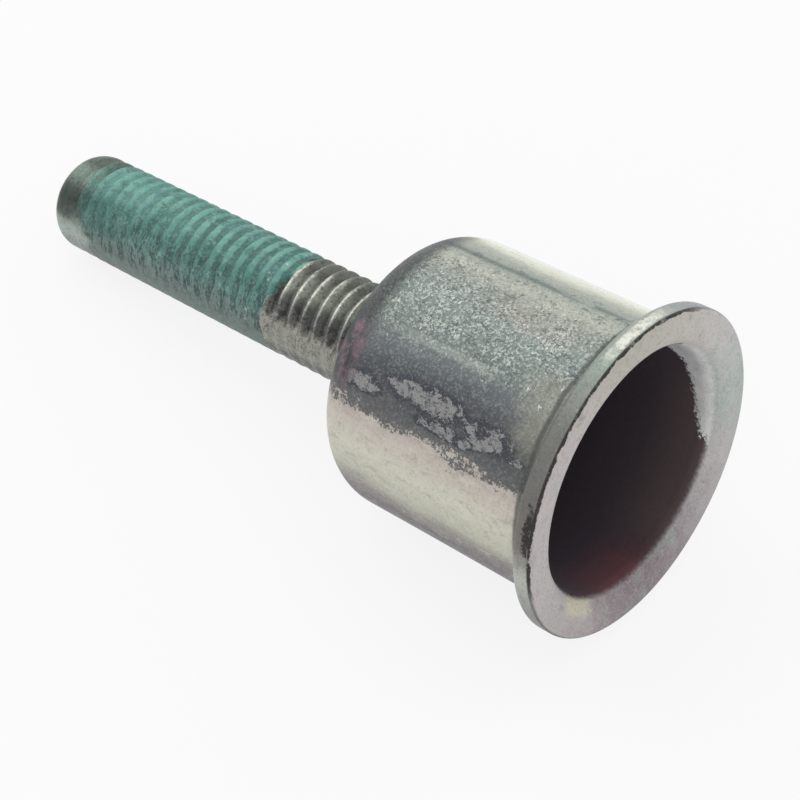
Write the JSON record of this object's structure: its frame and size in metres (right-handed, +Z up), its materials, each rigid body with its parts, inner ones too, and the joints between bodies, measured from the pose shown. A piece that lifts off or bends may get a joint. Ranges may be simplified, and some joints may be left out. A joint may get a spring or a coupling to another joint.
{
  "type": "sleeve screw",
  "caption": "Threaded screw held captive in a drawn metal sleeve with a rounded shoulder and a flanged open mouth.",
  "frame": {"origin": "on the surface that the part lies on, below the middle of its box", "axes": "+Z up; the screw's tip points to -X and the sleeve's mouth to +X, with the axis tilted 9.686 degrees so that the sleeve's shoulder and the thread's end both rest on the surface, with the flange clear of it"},
  "size_m": [0.058, 0.024, 0.025],
  "materials": {
    "zinc_sleeve": "zinc plated with a clear passivation, speckled",
    "coated_screw": "zinc plated, with a dried teal locking coat on the thread"
  },
  "bodies": {
    "sleeve": {"sleeve": "zinc_sleeve"},
    "screw": {"screw": "coated_screw"}
  },
  "joints": [
    {"name": "screw_turn", "type": "hinge", "parent": "sleeve", "child": "screw", "pos_m": [0.00792, 0, 0.0099], "axis": [-0.9857, 0, -0.1682], "continuous": true}
  ]
}
